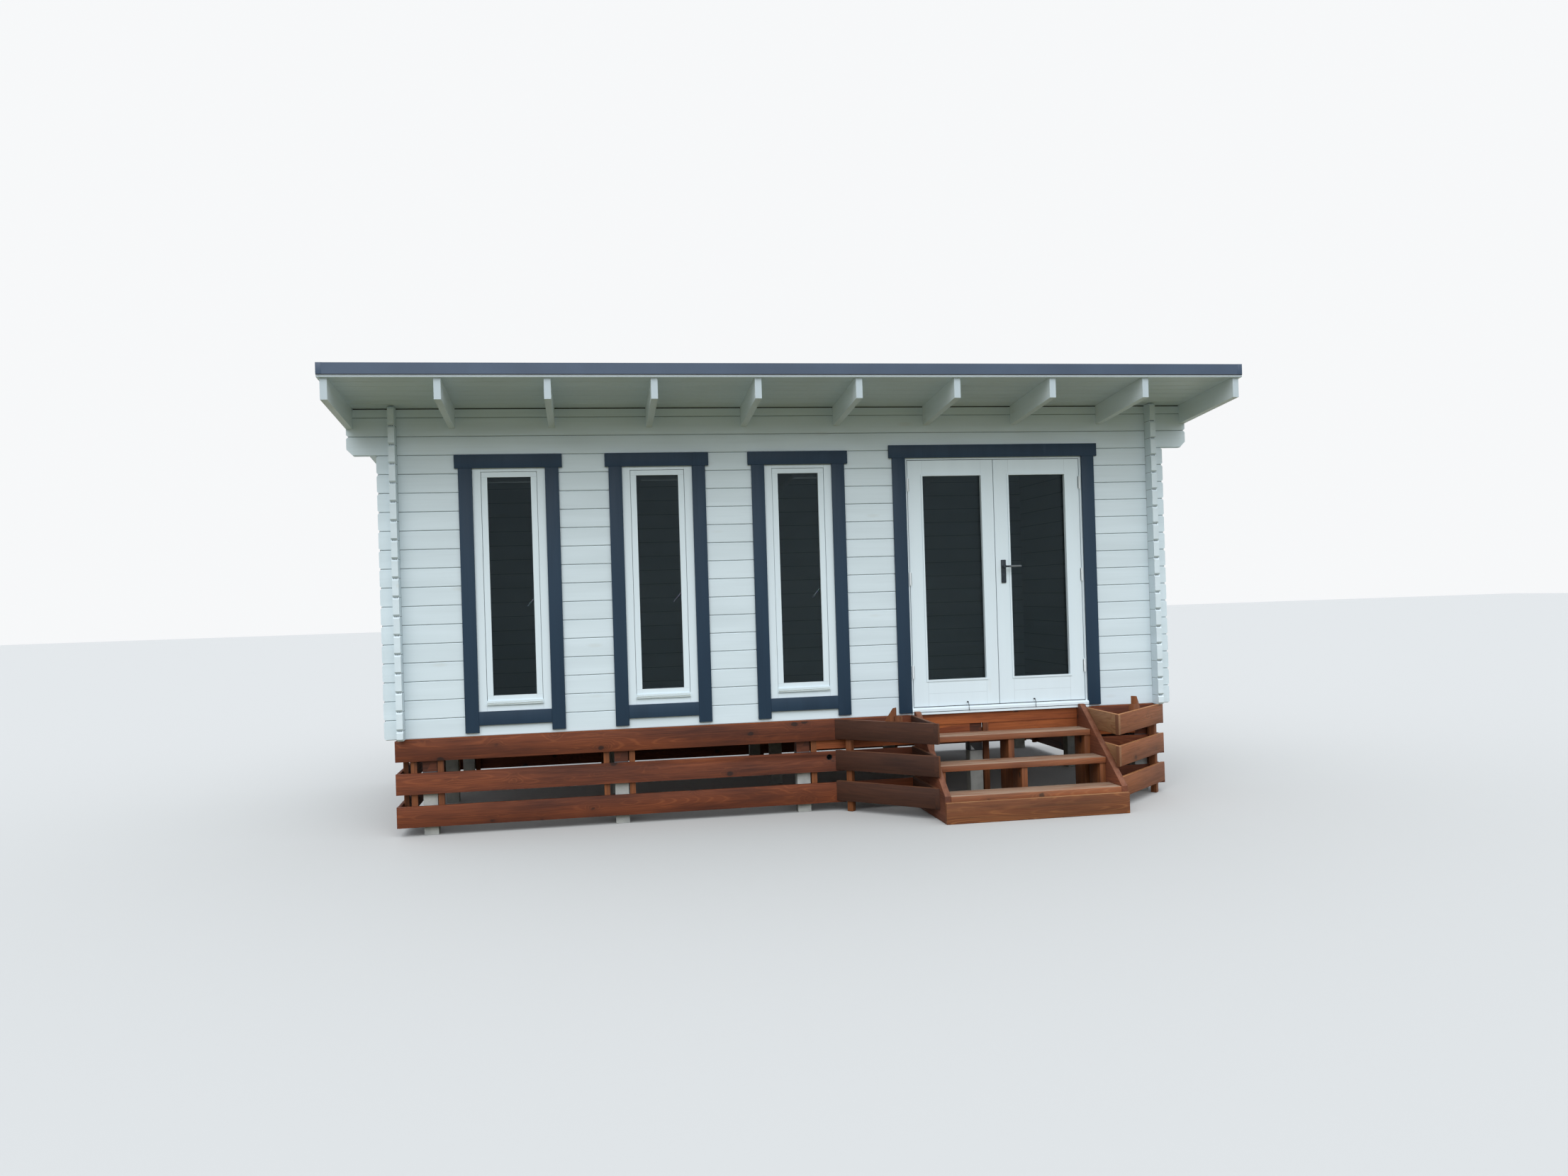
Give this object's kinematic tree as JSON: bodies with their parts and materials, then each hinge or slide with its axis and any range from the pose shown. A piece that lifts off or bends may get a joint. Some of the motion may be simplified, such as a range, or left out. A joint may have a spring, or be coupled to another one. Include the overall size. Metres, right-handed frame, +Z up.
{
  "type": "garden office pod",
  "caption": "Timber log garden office on stumps, with a sloping sheet roof, tall windows, double glazed doors, slatted skirting and front steps.",
  "frame": {"origin": "on the ground under the middle of the roof", "axes": "+X along the front wall, to the right as seen from the front; +Y from the front to the back; +Z up"},
  "size_m": [6.4396, 3.8896, 3.2274],
  "materials": {
    "white_paint": "painted",
    "slate_paint": "painted",
    "stained_timber": "stained",
    "plain_timber": "sawn",
    "concrete": "rough",
    "galvanised_steel": "dull",
    "roof_steel": "satin",
    "white_metal": "satin",
    "dark_metal": "satin",
    "glass": "clear"
  },
  "bodies": {
    "building": {"stumps": "concrete", "stump_caps": "galvanised_steel", "stump_blocks": "plain_timber", "floor_rails": "plain_timber", "rim_joists": "stained_timber", "floor_joists": "plain_timber", "floor_boards": "plain_timber", "skirting_battens": "stained_timber", "skirting_front": "stained_timber", "skirting_sides": "stained_timber", "skirting_back": "stained_timber", "front_wall_left": "white_paint", "front_wall_right": "white_paint", "front_wall_over_door": "white_paint", "left_wall": "white_paint", "right_wall": "white_paint", "back_wall": "white_paint", "rafters": "white_paint", "roof_boards": "white_paint", "roof_battens": "plain_timber", "roof_sheet": "roof_steel", "roof_flashings": "roof_steel", "roof_edge_strips": "white_paint", "window_frames": "white_paint", "window_sashes": "white_paint", "window_panes": "glass", "window_trims": "slate_paint", "door_frame": "white_paint", "door_threshold": "white_paint", "door_trim": "slate_paint", "frame_hinges": "white_metal", "step_stringers": "stained_timber", "step_treads": "stained_timber", "step_riser": "stained_timber", "tread_supports": "stained_timber", "left_wing_boards": "stained_timber", "right_wing_boards": "stained_timber", "wing_posts": "stained_timber"},
    "left_door": {"door_leaf_left": "white_paint", "door_pane_left": "glass", "left_leaf_hinges": "white_metal"},
    "right_door": {"door_leaf_right": "white_paint", "door_pane_right": "glass", "right_leaf_hinges": "white_metal", "door_handle_plates": "dark_metal"},
    "lever": {"door_lever": "dark_metal"}
  },
  "joints": [
    {"name": "left_door_swing", "type": "hinge", "parent": "building", "child": "left_door", "pos_m": [0.8985, -1.1327, 1.733], "axis": [0, 0, -1], "range_deg": [0, 105]},
    {"name": "right_door_swing", "type": "hinge", "parent": "building", "child": "right_door", "pos_m": [2.2915, -1.1327, 1.733], "axis": [0, 0, 1], "range_deg": [0, 105]},
    {"name": "lever_turn", "type": "hinge", "parent": "right_door", "child": "lever", "pos_m": [1.6495, -1.1, 1.81], "axis": [0, 1, 0], "range_deg": [0, 45], "stiffness_Nm_per_rad": 1.5, "springref_deg": -28.65}
  ]
}
